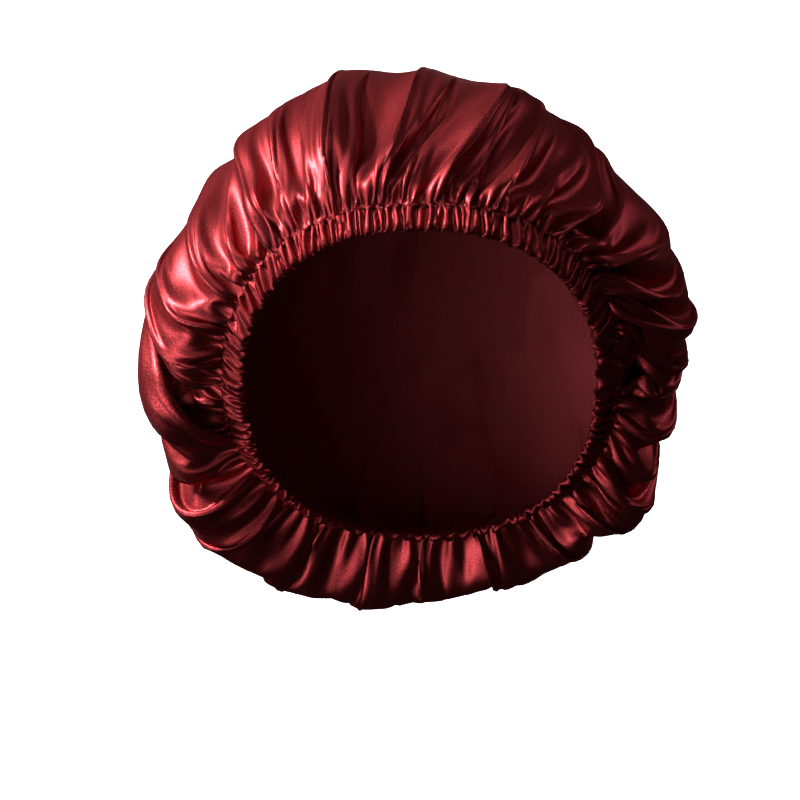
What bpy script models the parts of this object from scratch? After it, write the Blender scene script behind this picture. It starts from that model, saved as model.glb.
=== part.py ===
"""A satin sleep bonnet, as it sits on a head: a full round crown gathered on to an elastic band.

The band grips the head from the hairline (-Y), over both temples, down to the nape.
The origin is the middle of the band's lower edge, +Z is up and the face looks along -Y.
"""

import math
from collections import namedtuple

import bmesh
import bpy
import numpy as np

MM = 0.001

# The band's lower edge is an oval round the head, tilted from the hairline down to the nape.
OVAL_LENGTH = 201.6 * MM
OVAL_WIDTH = 156.0 * MM
OVAL_POWER = 2.3
OVAL_TILT = math.radians(42)

# The band: an elastic in a casing of the same satin.
BAND_WIDTH = 14.0 * MM
BAND_THICKNESS = 3.0 * MM
BAND_RUFFLE = 0.7 * MM

# The crown: one layer of satin, from the stitching at the band up to its middle. Places on it
# are given by their angle round the oval's axis and by their reach, the share of that way.
CLOTH = 1.0 * MM
SEAM_GAP = 0.3 * MM
CROWN_TOP = 158.0 * MM
DOME_POWER = 2.1
BELLY_REACH = 0.22
BELLY_HANDLE = 0.45

# The small gathers at the stitching: every other column dips by GATHER where the columns are
# GATHER_ROOM apart or more, and the gathers have eased out by GATHER_REACH.
GATHER = 2.4 * MM
GATHER_ROOM = math.radians(5)
GATHER_START = 0.04
GATHER_REACH = 0.20

# The large folds: they stand in full from FOLD_START on until they begin to fade, and are crowded
# together near the band, down to CROWDED of their slope, opening out by OPEN_REACH.
FOLD_START = 0.20
FADE_FROM = 0.40
CROWDED = 0.45
OPEN_REACH = 0.30

# The mesh: every fold is this many columns wide, and the rows lie closer together at the band.
COLUMNS_PER_FOLD = 4
CROWN_ROWS = 16
ROW_CROWDING = 1.5

# The oval's own directions: to the hairline, to the right temple, and up into the crown.
HAIRLINE = np.array([0.0, -math.cos(OVAL_TILT), math.sin(OVAL_TILT)])
TEMPLE = np.array([1.0, 0.0, 0.0])
CROWNWARD = np.array([0.0, math.sin(OVAL_TILT), math.cos(OVAL_TILT)])

# The band's section, corner by corner: how far across its width and through its thickness from
# the lower inner edge, as shares of them, and how much of the ruffle the corner takes.
Corner = namedtuple("Corner", "width thickness ruffle")
CORNERS = (
    Corner(0.04, 0.0, 0),
    Corner(0.96, 0.0, 0),
    Corner(1.00, 0.5, 0),
    Corner(0.94, 1.0, 1),
    Corner(0.62, 1.1, 1),
    Corner(0.34, 1.1, 1),
    Corner(0.06, 1.0, 1),
    Corner(0.00, 0.5, 0),
)

# The crown's outline at places round the band. angle runs from the hairline towards +X; flare is
# how far the band leans outwards and droop how far the cloth points down as it leaves the band,
# both in degrees; sag is how hard the belly hangs, widest the belly's distance from the oval's
# axis and level its height over the oval, in millimetres.
Section = namedtuple("Section", "angle flare droop sag widest level")
SECTIONS = (
    Section(0, 8, -50, 22, 105, 48),
    Section(28, 22, -40, 22, 107, 46),
    Section(50, 32, -15, 24, 102, 40),
    Section(90, 50, 15, 30, 110, 34),
    Section(115, 48, 25, 36, 115, 30),
    Section(135, 44, 30, 46, 135, 26),
    Section(160, 34, 24, 50, 149, 26),
    Section(200, 34, 24, 54, 161, 26),
    Section(225, 44, 30, 52, 144, 26),
    Section(250, 50, 25, 38, 124, 30),
    Section(270, 50, 15, 30, 112, 34),
    Section(288, 44, 5, 28, 110, 36),
    Section(310, 32, -15, 24, 105, 40),
    Section(330, 22, -40, 22, 108, 46),
)

# The crown's folds, each a crest running up from the band. start is the angle where it leaves the
# band and turn how far it has swung round by the reach given as run; height is how far it stands
# out, in millimetres, slope the degrees in which that falls off on either side, fade the reach at
# which it has died out, and lean how far it tips over sideways, in millimetres.
Fold = namedtuple("Fold", "start turn run height slope fade lean")
FOLDS = (
    Fold(-10, 12, 0.60, 9, 7, 0.95, 0),
    Fold(-4, 8, 0.25, 4, 4, 0.30, 0),
    Fold(3, 20, 0.55, 9, 7, 0.90, 3),
    Fold(10, 17, 0.50, 4, 4, 0.35, 0),
    Fold(17, 20, 0.50, 6, 5, 0.75, 2),
    Fold(26, 18, 0.40, 4, 5, 0.40, 0),
    Fold(36, 26, 0.30, 9, 8, 0.80, 8),
    Fold(46, 30, 0.30, 8, 6, 0.60, 0),
    Fold(54, 29, 0.25, 6, 6, 0.45, 0),
    Fold(64, 26, 0.25, 9, 7, 0.60, 3),
    Fold(80, 18, 0.20, 4, 5, 0.40, 0),
    Fold(96, 12, 0.20, 10, 6, 0.50, -4),
    Fold(105, 9, 0.20, 5, 5, 0.35, 0),
    Fold(115, 9, 0.20, 7, 6, 0.50, 0),
    Fold(127, 7, 0.25, 5, 6, 0.50, 0),
    Fold(139, 5, 0.25, 8, 7, 0.60, 0),
    Fold(152, 3, 0.25, 5, 6, 0.45, 0),
    Fold(165, 2, 0.25, 7, 7, 0.60, 0),
    Fold(179, 0, 0.25, 5, 6, 0.45, 0),
    Fold(192, -1, 0.25, 8, 7, 0.65, 0),
    Fold(205, -2, 0.25, 5, 6, 0.45, 0),
    Fold(218, -2, 0.25, 7, 7, 0.60, 0),
    Fold(231, 1, 0.20, 6, 5, 0.45, 0),
    Fold(239, 4, 0.20, 7, 6, 0.45, -2),
    Fold(247, 15, 0.20, 15, 7, 0.60, 0),
    Fold(260, 7, 0.20, 4, 4, 0.30, 0),
    Fold(269, 5, 0.20, 7, 6, 0.40, 0),
    Fold(278, 4, 0.25, 11, 7, 0.60, -6),
    Fold(291, -4, 0.25, 6, 6, 0.50, 0),
    Fold(302, -3, 0.40, 7, 6, 0.65, 0),
    Fold(312, -8, 0.50, 4, 5, 0.40, 0),
    Fold(322, -16, 0.50, 9, 6, 0.80, 2),
    Fold(329, -9, 0.50, 7, 5, 0.75, 0),
    Fold(335, -6, 0.50, 5, 5, 0.60, 0),
    Fold(340, -6, 0.55, 9, 6, 0.90, 0),
    Fold(345, -2, 0.30, 4, 4, 0.35, 0),
)

# Hollows between the folds: where they are, how far they spread round the crown, in degrees, and
# along it, in reach, and how deep they are, in millimetres.
Hollow = namedtuple("Hollow", "angle reach spread length depth")
HOLLOWS = (
    Hollow(84, 0.10, 9, 0.07, 9),
    Hollow(266, 0.17, 4, 0.12, 10),
    Hollow(237, 0.24, 5, 0.18, 16),
    Hollow(56, 0.28, 5, 0.12, 6),
    Hollow(352, 0.40, 7, 0.25, 3),
)

COLUMNS = COLUMNS_PER_FOLD * len(FOLDS)
ODD_COLUMNS = np.arange(COLUMNS) % 2


def smooth(value):
    """An ease from 0 to 1 as value goes from 0 to 1."""
    t = np.clip(value, 0.0, 1.0)
    return t * t * (3 - 2 * t)


def placed(angle, out, up):
    """The point at that angle round the oval's axis, that far out from it and up along it."""
    side = np.cos(angle)[..., None] * HAIRLINE + np.sin(angle)[..., None] * TEMPLE
    return out[..., None] * side + up[..., None] * CROWNWARD


def oval_radius(angle):
    """The oval's distance from its axis at that angle."""
    along = np.abs(np.cos(angle)) / (OVAL_LENGTH / 2)
    across = np.abs(np.sin(angle)) / (OVAL_WIDTH / 2)
    return (along**OVAL_POWER + across**OVAL_POWER) ** (-1 / OVAL_POWER)


def section_value(column, angle):
    """A column of the section table, eased from each place round the band to the next."""
    rows = SECTIONS + (SECTIONS[0]._replace(angle=360),)
    degrees = np.degrees(angle) % 360
    value = np.zeros_like(degrees)
    for near, far in zip(rows, rows[1:]):
        inside = (degrees >= near.angle) & (degrees < far.angle)
        share = smooth((degrees - near.angle) / (far.angle - near.angle))
        between = getattr(near, column) * (1 - share) + getattr(far, column) * share
        value = np.where(inside, between, value)
    return value


def band_direction(angle):
    """How far the band's width runs out and up, for each unit of width."""
    flare = np.radians(section_value("flare", angle))
    return np.sin(flare), np.cos(flare)


def degrees_between(angle, other):
    """How far an angle is round from another, the short way, in degrees."""
    return (angle - other + 180) % 360 - 180


def crest_angles(reach):
    """Where each fold's crest is at that reach, in degrees."""
    return [fold.start + fold.turn * smooth(reach / fold.run) for fold in FOLDS]


def column_angles(reach):
    """The angle of each column at that reach, as many to each fold, the first on its crest."""
    crests = crest_angles(reach)
    share = np.arange(COLUMNS_PER_FOLD) / COLUMNS_PER_FOLD
    following = crests[1:] + [crests[0] + 360]
    degrees = [near + (far - near) * share for near, far in zip(crests, following)]
    return np.radians(np.concatenate(degrees))


def seam_at(angle):
    """How far out and up the stitching is, just off the middle of the band's upper edge."""
    sine, cosine = band_direction(angle)
    width, through = BAND_WIDTH + SEAM_GAP, BAND_THICKNESS / 2
    return oval_radius(angle) + sine * width + cosine * through, cosine * width - sine * through


def belly(angle, share):
    """How far out and up the crown is that share of the way from the stitching to its widest."""
    seam_out, seam_up = seam_at(angle)
    droop = np.radians(section_value("droop", angle))
    widest = section_value("widest", angle) * MM
    level = section_value("level", angle) * MM
    hanging = level - section_value("sag", angle) * MM
    handle = BELLY_HANDLE * np.hypot(widest - seam_out, level - seam_up)
    rest = 1 - share
    weights = (rest**3, 3 * share * rest**2, 3 * share**2 * rest, share**3)
    outs = (seam_out, seam_out + handle * np.cos(droop), widest, widest)
    ups = (seam_up, seam_up - handle * np.sin(droop), hanging, level)
    return (
        sum(weight * out for weight, out in zip(weights, outs)),
        sum(weight * up for weight, up in zip(weights, ups)),
    )


def dome(angle, share):
    """How far out and up the crown is that share of the way from its widest to its middle."""
    widest = section_value("widest", angle) * MM
    level = section_value("level", angle) * MM
    turn = share * math.pi / 2
    out = widest * max(math.cos(turn), 0.0) ** (2 / DOME_POWER)
    return out, level + (CROWN_TOP - level) * math.sin(turn) ** (2 / DOME_POWER)


def smooth_crown(angle, reach):
    """Points of the crown without its folds: a hanging belly, then a dome."""
    if reach < BELLY_REACH:
        return placed(angle, *belly(angle, reach / BELLY_REACH))
    return placed(angle, *dome(angle, (reach - BELLY_REACH) / (1 - BELLY_REACH)))


def fold_shape(angle, reach):
    """How far the folds raise the cloth and tip it over sideways at each angle."""
    degrees = np.degrees(angle)
    raised, tipped = np.zeros_like(angle), np.zeros_like(angle)
    for fold, crest in zip(FOLDS, crest_angles(reach)):
        slope = fold.slope * (CROWDED + (1 - CROWDED) * smooth(reach / OPEN_REACH))
        away = np.abs(degrees_between(degrees, crest)) / slope
        faded = smooth((reach / fold.fade - FADE_FROM) / (1 - FADE_FROM))
        stand = smooth(reach / FOLD_START) * (1 - faded)
        raised += fold.height * MM * stand * np.exp(-away)
        tipped += fold.lean * MM * stand * np.exp(-away * away)
    for hollow in HOLLOWS:
        round_it = degrees_between(degrees, hollow.angle) / hollow.spread
        along_it = (reach - hollow.reach) / hollow.length
        raised -= hollow.depth * MM * np.exp(-round_it * round_it - along_it * along_it)
    return raised, tipped


def gather_depth(angle, reach):
    """How far each column dips between the gathers that start at the stitching."""
    room = (np.roll(angle, -1) - np.roll(angle, 1)) % math.tau / GATHER_ROOM
    ease = min(reach / GATHER_START, 1 - smooth(reach / GATHER_REACH))
    return GATHER * ease * np.clip(room, 0, 1) * ODD_COLUMNS


def unit(vectors):
    """The vectors at length 1, or 0 where they have no length."""
    return vectors / (np.linalg.norm(vectors, axis=2, keepdims=True) + 1e-12)


def crown_points():
    """The crown's outer face, rows from the stitching to the pole, as rows x columns x 3."""
    points, raised, tipped = [], [], []
    for row in range(CROWN_ROWS + 1):
        reach = (row / CROWN_ROWS) ** ROW_CROWDING
        angle = column_angles(reach)
        fold_height, fold_lean = fold_shape(angle, reach)
        points.append(smooth_crown(angle, reach))
        raised.append(fold_height - gather_depth(angle, reach))
        tipped.append(fold_lean)
    points = np.array(points)
    around = unit(np.roll(points, -1, axis=1) - np.roll(points, 1, axis=1))
    outwards = unit(np.cross(around, unit(np.gradient(points, axis=0))))
    return points + outwards * np.array(raised)[..., None] + around * np.array(tipped)[..., None]


def add_object(name, bm, collection, material):
    """A mesh object of that shape, shaded smooth."""
    mesh = bpy.data.meshes.new(name)
    bm.to_mesh(mesh)
    bm.free()
    mesh.materials.append(material)
    mesh.shade_smooth()
    obj = bpy.data.objects.new(name, mesh)
    collection.objects.link(obj)
    return obj


def column_of(vert):
    """Which column a vertex of a round primitive stands in, counted round its axis."""
    return round(math.atan2(vert.co.y, vert.co.x) / math.tau * COLUMNS) % COLUMNS


def add_crown(collection, satin):
    """A ball without its lower pole, drawn into the gathered crown and given its thickness."""
    points = crown_points()
    bm = bmesh.new()
    bmesh.ops.create_uvsphere(bm, u_segments=COLUMNS, v_segments=CROWN_ROWS + 1, radius=1.0)
    lower_pole = min(bm.verts, key=lambda vert: vert.co.z)
    bmesh.ops.delete(bm, geom=[lower_pole], context="VERTS")
    for vert in bm.verts:
        from_pole = math.acos(max(-1.0, min(1.0, vert.co.z))) / math.pi * (CROWN_ROWS + 1)
        vert.co = points[CROWN_ROWS - round(from_pole), column_of(vert)]
    crown = add_object("crown", bm, collection, satin)
    wall = crown.modifiers.new("cloth", "SOLIDIFY")
    wall.thickness = CLOTH
    wall.offset = -1


def band_ring(angle, corner):
    """The line of one corner of the band's section, all the way round."""
    sine, cosine = band_direction(angle)
    across = corner.width * BAND_WIDTH
    ruffle = corner.ruffle * BAND_RUFFLE * (2 * ODD_COLUMNS - 1)
    through = corner.thickness * BAND_THICKNESS + ruffle
    out = oval_radius(angle) + sine * across + cosine * through
    return placed(angle, out, cosine * across - sine * through)


def add_band(collection, satin):
    """A ring drawn along the oval, with the band's section, ruffled on its outer face."""
    angle = column_angles(0.0)
    rings = [band_ring(angle, corner) for corner in CORNERS]
    bpy.ops.mesh.primitive_torus_add(
        major_segments=COLUMNS, minor_segments=len(CORNERS), major_radius=1.0, minor_radius=0.5
    )
    torus = bpy.context.object
    bm = bmesh.new()
    bm.from_mesh(torus.data)
    bpy.data.objects.remove(torus)
    for vert in bm.verts:
        around = math.atan2(vert.co.z, math.hypot(vert.co.x, vert.co.y) - 1.0)
        vert.co = rings[round(around / math.tau * len(CORNERS)) % len(CORNERS)][column_of(vert)]
    bmesh.ops.recalc_face_normals(bm, faces=bm.faces[:])
    add_object("band", bm, collection, satin)


def satin_material(name, colour, roughness):
    """A plain woven satin of that colour."""
    material = bpy.data.materials.new(name)
    material.use_nodes = True
    shader = material.node_tree.nodes["Principled BSDF"]
    shader.inputs["Base Color"].default_value = (*colour, 1.0)
    shader.inputs["Roughness"].default_value = roughness
    shader.inputs["Metallic"].default_value = 0.0
    return material


def main():
    for obj in list(bpy.data.objects):
        bpy.data.objects.remove(obj)
    bonnet = bpy.data.collections.new("sleep_bonnet")
    bpy.context.scene.collection.children.link(bonnet)
    add_crown(bonnet, satin_material("crown_satin", (0.22, 0.012, 0.018), 0.32))
    add_band(bonnet, satin_material("band_satin", (0.18, 0.010, 0.015), 0.36))


main()
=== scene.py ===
"""A satin sleep bonnet as worn: a full round crown gathered on to a ruched elastic band.

The band runs from the hairline (-Y), past both temples, down to the nape. Places on the crown
are given by their angle round the band's oval, from the hairline towards +X, and by their reach,
the share of the way from the stitching up to the middle of the crown.
"""

import math
from collections import namedtuple

import bpy
import numpy as np
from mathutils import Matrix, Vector, noise


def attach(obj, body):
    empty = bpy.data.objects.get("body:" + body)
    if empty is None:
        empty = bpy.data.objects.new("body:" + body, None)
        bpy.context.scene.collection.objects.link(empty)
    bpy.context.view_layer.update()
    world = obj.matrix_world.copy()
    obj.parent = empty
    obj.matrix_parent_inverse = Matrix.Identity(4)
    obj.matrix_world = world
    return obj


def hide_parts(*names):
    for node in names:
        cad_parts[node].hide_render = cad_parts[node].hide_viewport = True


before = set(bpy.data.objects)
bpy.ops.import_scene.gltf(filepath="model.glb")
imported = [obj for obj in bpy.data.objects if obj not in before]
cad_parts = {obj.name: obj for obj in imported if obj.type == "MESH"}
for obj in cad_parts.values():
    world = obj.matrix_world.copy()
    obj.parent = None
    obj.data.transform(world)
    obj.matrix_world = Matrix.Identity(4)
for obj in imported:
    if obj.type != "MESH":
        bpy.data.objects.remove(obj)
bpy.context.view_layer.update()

bl_info = {
    "name": "Satin sleep bonnet",
    "version": (1, 0, 0),
    "blender": (4, 5, 0),
    "location": "3D View > Sidebar > Bonnet",
    "description": "Gathers a satin sleep bonnet on to its band and sets it in a plain studio",
    "category": "Add Mesh",
}

MM = 0.001

# The crown's outline at places round the band. angle runs from the hairline towards +X; flare is
# how far the band leans outwards and droop how far the cloth points down as it leaves the band,
# both in degrees; sag is how hard the belly hangs, widest the belly's distance from the oval's
# axis and level its height over the oval, in millimetres.
Section = namedtuple("Section", "angle flare droop sag widest level")
SECTIONS = (
    Section(0, 8, -50, 22, 105, 48),
    Section(28, 22, -40, 22, 105, 46),
    Section(50, 32, -15, 24, 103, 40),
    Section(70, 42, 0, 27, 114, 36),
    Section(90, 50, 15, 30, 114, 34),
    Section(115, 48, 25, 36, 116, 30),
    Section(135, 44, 30, 46, 135, 26),
    Section(160, 34, 24, 50, 149, 26),
    Section(200, 34, 24, 54, 161, 26),
    Section(225, 44, 30, 52, 147, 26),
    Section(250, 50, 25, 38, 124, 30),
    Section(270, 50, 15, 30, 112, 34),
    Section(288, 44, 5, 28, 110, 36),
    Section(310, 32, -15, 24, 108, 40),
    Section(330, 22, -40, 22, 111, 46),
)

# The crown's large folds, each a crest running up from the band. start is the angle where it
# leaves the band and turn how far it has swung round by the reach given as run; height is how far
# it stands out, in millimetres, slope the degrees in which that falls off on either side, fade the
# reach at which it has died out, lean how far it tips over sideways and pinch how far its sharp
# edge stands up, in millimetres.
Fold = namedtuple("Fold", "start turn run height slope fade lean pinch")
FOLDS = (
    Fold(-10, 12, 0.60, 10, 7, 0.75, 1, 2.0),
    Fold(-4, 16, 0.60, 3, 4, 0.35, 0, 1.2),
    Fold(3, 20, 0.55, 9, 7, 0.75, 3, 1.8),
    Fold(10, 18, 0.60, 3, 4, 0.40, 0, 1.2),
    Fold(17, 16, 0.50, 7, 5, 0.65, 2, 2.0),
    Fold(26, 14, 0.40, 4, 5, 0.45, 0, 1.2),
    Fold(34, 10, 0.30, 9, 7, 0.70, 4, 1.0),
    Fold(41, 15, 0.30, 5, 6, 0.70, 0, 1.0),
    Fold(46, 24, 0.30, 8, 6, 0.48, 0, 1.3),
    Fold(54, 23, 0.25, 6, 6, 0.36, 0, 1.2),
    Fold(63, 23, 0.25, 8, 7, 0.42, 3, 1.2),
    Fold(71, 24, 0.22, 7, 8, 0.45, 3, 1.0),
    Fold(96, 6, 0.20, 4, 5, 0.45, -4, 1.8),
    Fold(105, 4, 0.20, 8, 5, 0.35, 0, 1.2),
    Fold(115, 9, 0.20, 8, 6, 0.45, 0, 1.5),
    Fold(127, 4, 0.25, 9, 7, 0.50, 0, 1.2),
    Fold(139, -5, 0.25, 7, 7, 0.60, 0, 1.5),
    Fold(152, -5, 0.25, 4, 7, 0.50, 0, 0.3),
    Fold(165, 0, 0.25, 4, 9, 0.55, 0, 0.2),
    Fold(179, 0, 0.25, 4, 8, 0.50, 0, 0.2),
    Fold(192, -1, 0.25, 4, 9, 0.55, 0, 0.2),
    Fold(205, 1, 0.25, 4, 8, 0.50, 0, 0.3),
    Fold(218, 6, 0.25, 7, 7, 0.60, 0, 0.8),
    Fold(230, 3, 0.20, 9, 6, 0.45, 0, 1.5),
    Fold(239, 4, 0.20, 7, 6, 0.45, -2, 1.5),
    Fold(247, 15, 0.20, 14, 7, 0.60, 5, 1.5),
    Fold(260, 7, 0.20, 4, 4, 0.30, 0, 1.2),
    Fold(269, 5, 0.20, 7, 6, 0.40, 0, 1.5),
    Fold(278, 2, 0.25, 8, 7, 0.55, -6, 1.5),
    Fold(291, -4, 0.25, 8, 6, 0.50, 0, 1.5),
    Fold(302, -3, 0.40, 8, 6, 0.60, 0, 1.5),
    Fold(312, -3, 0.50, 4, 5, 0.40, 0, 1.2),
    Fold(322, -8, 0.50, 8, 6, 0.70, 2, 1.5),
    Fold(329, -4, 0.50, 5, 5, 0.65, 0, 1.8),
    Fold(335, -4, 0.50, 3, 5, 0.55, 0, 1.5),
    Fold(340, -2, 0.55, 9, 6, 0.75, 0, 1.6),
    Fold(345, 1, 0.30, 2, 4, 0.35, 0, 1.2),
)
FOLD_COUNT = len(FOLDS)

# Hollows between the folds: where they are, how far they spread round the crown, in degrees, and
# along it, in reach, and how deep they are, in millimetres.
Hollow = namedtuple("Hollow", "angle reach spread length depth")
HOLLOWS = (
    Hollow(88, 0.07, 8, 0.06, 39),
    Hollow(266, 0.17, 5, 0.12, 15),
    Hollow(256, 0.07, 4, 0.05, 9),
    Hollow(127, 0.15, 5, 0.08, 4),
    Hollow(237, 0.24, 6, 0.18, 10),
    Hollow(49, 0.33, 3.5, 0.2, 8),
    Hollow(352, 0.40, 7, 0.25, 3),
)

# How the folds stand: in full from FOLD_START on until they begin to fade at FADE_FROM of their
# length, crowded together near the band down to CROWDED of their slope, opening out by OPEN_REACH.
FOLD_START = 0.20
FADE_FROM = 0.40
CROWDED = 0.45
OPEN_REACH = 0.30

# A crest is rounded over ROUNDED of its slope at the band, and over ROUNDED_ABOVE more from
# ROUNDED_BY on. Where folds meet, the higher FOLD_JOIN is, the more the tallest one wins. LOBED of
# a fold's height is a lobe from valley to valley, whose flanks LOBE_POWER shapes.
ROUNDED = 0.25
ROUNDED_ABOVE = 0.8
ROUNDED_BY = 0.5
FOLD_JOIN = 2.0
LOBED = 0.15
LOBE_POWER = 0.8

# The folds are drawn DEEPENED times as high as in their table, on a form that is SUNK below the
# smooth one. The hollows reach their depth by HOLLOW_FROM. The settled cloth is smoothed along its
# columns SOFTENED times.
DEEPENED = 1.35
SUNK = 1.0 * MM
HOLLOW_FROM = 0.03
SOFTENED = 3

# Soft dents and swellings in the crown, from one to the next and from side to side.
DENT_SIZE = 25 * MM
DENT_DEPTH = 5.5 * MM

# The sharp ridge on a crest: its width before the crest and its drop behind it, in folds, how
# steeply it falls off, the reach by which it stands, and from where to where it fades, as shares of
# the fold's length.
RIDGE_WIDTH = 0.11
RIDGE_DROP = 0.035
RIDGE_POWER = 1.3
RIDGE_FROM = 0.03
RIDGE_FADES = 0.35
RIDGE_ENDS = 0.9

# The crown runs up as a hanging belly to BELLY_REACH and as a dome from there.
BELLY_REACH = 0.22
BELLY_HANDLE = 0.45
DOME_POWER = 2.1
OVAL_POWER = 2.3

# The crown's mesh, which ends in a point at CROWN_END: its rows lie closer together near the band.
COLUMN_CROWDING = 0.35
CROWN_ROWS = 54
ROW_CROWDING = 1.4
CROWN_END = 0.985
TUCKED = 1.5 * MM

# The casing's mesh: rows from the stitching down the outer side, round the lower edge and up the
# inner side.
CASING_ROWS = 28
CASING_SQUARENESS = 0.45
CASING_CUT = 0.034
SEAM_BELOW_EDGE = 0.8 * MM
RUFFLES_AS_DRAWN = 0.5
RUFFLE_HEIGHT = 1.4 * MM
RUFFLE_DEPTH = 1.5 * MM
OUTER_TO = 0.42  # where its outer side ends, as a share of the rows, and how far it then eases
OUTER_EASES = 0.16

# The stitches lie on this row of the casing. Each shows for part of its length, as a bowed thread.
STITCH_ROW = 3
STITCH_SHARE = 0.7
THREAD_RINGS = 5
THREAD_SIDES = 6

# The small pleats that the cloth is drawn into at the stitching, one row each: place is counted
# in folds, width in folds, height in millimetres, reach where it has opened out, and sway how far
# it wanders sideways, in folds. They are drawn between these, with these odds for the reaches.
Pleat = namedtuple("Pleat", "place width height reach sway phase")
PLEAT_GAPS = (0.35, 1.9)
PLEAT_WIDTH = 0.42
PLEAT_HEIGHTS = (0.6, 2.2)
PLEAT_REACHES = (0.05, 0.08, 0.14, 0.24)
PLEAT_ODDS = (0.35, 0.3, 0.22, 0.13)
PLEAT_SWAY = 0.15
SWAY_TURNS = 40
SWAY_FROM = 0.03
PLEAT_OPENS = 2.2

# How the cloth settles: with how many columns to a fold, in how many rounds, how stiff its folds
# are, the share of the spare cloth that it has at the start and at the end, the spans, in columns,
# over which it keeps apart, and how uneven it is before, in millimetres. The crown settles three
# times, on a finer mesh each time: first into its lobes, then into folds, then into pleats.
Settling = namedtuple("Settling", "columns rounds stiffness slack_from slack_to spans uneven")
CROWN_SETTLING = (
    Settling(6, 240, 0.05, 0.0, 0.7, (3, 4, 6), 0.8),
    Settling(12, 160, 0.03, 0.7, 0.9, (4, 7, 10, 15), 0.2),
    Settling(24, 120, 0.02, 0.9, 1.0, (8, 12, 18, 26), 0.1),
)
CASING_SETTLING = Settling(36, 220, 0.055, 0.0, 1.0, (9, 14, 20), 0.8)
CROWN_COLUMNS = CROWN_SETTLING[-1].columns
COARSER = 3  # a mesh this many times coarser than the last is too coarse for the pleats
SEAM_STIFFNESS = 0.002
STIFF_BY = 0.5
LENGTHWISE_STIFFNESS = 0.02
SLANTING_PULL = 0.25
MEMORY = 0.003
LET_GO_BY = 0.7  # the share of the rounds by which all the spare cloth is let out

# Where the crown's spare cloth lies, in reach: its belly is full from BELLY_FULL_BY to FLAT_FROM
# and flat FLAT_OVER further on. From MIDDLE_FROM to MIDDLE_BY the crown goes over into the form as
# drawn. The fine gathers start over SEAM_GRIP at the stitching and open out over SEAM_GATHERS.
BELLY_FULL_BY = 0.03
FLAT_FROM = 0.10
FLAT_OVER = 0.45
MIDDLE_FROM = 0.60
MIDDLE_BY = 0.90
SEAM_GATHERS = 0.10
SEAM_GRIP = 0.008

# The back has less spare cloth, by the share BACK_PLAINER. The higher BACK_NARROWED is, the less
# of the way round counts as the back.
BACK_PLAINER = 0.5
BACK_NARROWED = 4

# How far the settled cloth may lie outside the drawn folds and inside the smooth form, the reach by
# which it may lie that far inside, and how far apart the sides of a fold are kept.
OUTSIDE = 1.5 * MM
INSIDE = 10 * MM
INSIDE_BY = 0.15
APART = 1.6 * MM

# The spare cloth is uneven in patches, whose length is counted in folds, by these shares.
CROWN_PATCH = 0.5
CROWN_PATCHINESS = 0.6
CASING_PATCH = 0.35
CASING_PATCHINESS = 0.8

# How many threads of the weave there are to a metre of the cut, along and across the floats.
FLOATS = (1300.0, 1900.0, 1.0)

# How far the weave's grain lies above and below the satin's colour, as a share of it.
FACE_GRAIN = 0.58
WRONG_SIDE_GRAIN = 0.22

CAMERA_PLACE = (-0.0095, -1.6, -0.0045)
CAMERA_LENS = 160.0
SENSOR_WIDTH = 36.0

# The floor is flat to FLOOR_RADIUS, bends up over FLOOR_BEND and ends in a wall up to WALL_TOP.
FLOOR_LEVEL = -0.30
FLOOR_RADIUS = 4.5
FLOOR_BEND = 1.5
WALL_TOP = 4.0
FLOOR_SIDES = 96
BEND_STEPS = 12
FLOOR_GLOW = 0.75

# Soft rectangular lights: place, the point each is aimed at, width and height in metres, watts and
# colour.
WHITE, WARM, COOL = (1, 1, 1), (1.0, 0.98, 0.95), (0.93, 0.94, 1.0)
LIGHTS = (
    ("key", (-1.45, -0.4, 1.05), (0, 0, 0.02), 0.3, 0.3, 80, WARM),
    ("fill", (-0.9, -1.5, -0.7), (0, 0, 0.02), 1.6, 1.6, 9, WHITE),
    ("top", (-0.4, -0.9, 1.5), (0, 0, 0.02), 1.2, 1.2, 11, WHITE),
    ("low", (-1.5, -0.6, -0.7), (0, 0, -0.02), 1.3, 1.3, 26, WHITE),
    ("rim", (1.4, 0.5, 0.9), (0, 0, 0.02), 0.6, 0.6, 2.5, COOL),
    ("backdrop_left", (-1.6, 1.2, 2.2), (-1.2, 5.0, 0.4), 2.0, 1.0, 330, WHITE),
    ("backdrop_right", (1.6, 1.2, 2.2), (1.2, 5.0, 0.4), 2.0, 1.0, 330, WHITE),
)
WORLD_STRENGTH = 0.03


def smooth(value):
    """An ease from 0 to 1 as value goes from 0 to 1."""
    t = np.clip(value, 0.0, 1.0)
    return t * t * (3 - 2 * t)


def degrees_between(angle, other):
    """How far an angle is round from another, the short way, in degrees."""
    return (angle - other + 180) % 360 - 180


def unit(vectors):
    """The vectors at length 1, or 0 where they have no length."""
    return vectors / (np.linalg.norm(vectors, axis=-1, keepdims=True) + 1e-12)


def section_value(column, angle):
    """A column of the section table, eased from each place round the band to the next."""
    rows = SECTIONS + (SECTIONS[0]._replace(angle=360),)
    degrees = np.degrees(angle) % 360
    value = np.zeros_like(degrees)
    for near, far in zip(rows, rows[1:]):
        inside = (degrees >= near.angle) & (degrees < far.angle)
        share = smooth((degrees - near.angle) / (far.angle - near.angle))
        between = getattr(near, column) * (1 - share) + getattr(far, column) * share
        value = np.where(inside, between, value)
    return value


def crest_angles(reach):
    """Where each large fold's crest is at that reach, in degrees."""
    return np.array([fold.start + fold.turn * smooth(reach / fold.run) for fold in FOLDS])


def angle_at(place, reach):
    """The angle of a place counted in folds round the crown, at that reach, in radians."""
    crests = crest_angles(reach)
    crests = np.append(crests, crests[0] + 360)
    return np.radians(np.interp(place, np.arange(FOLD_COUNT + 1), crests))


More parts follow.
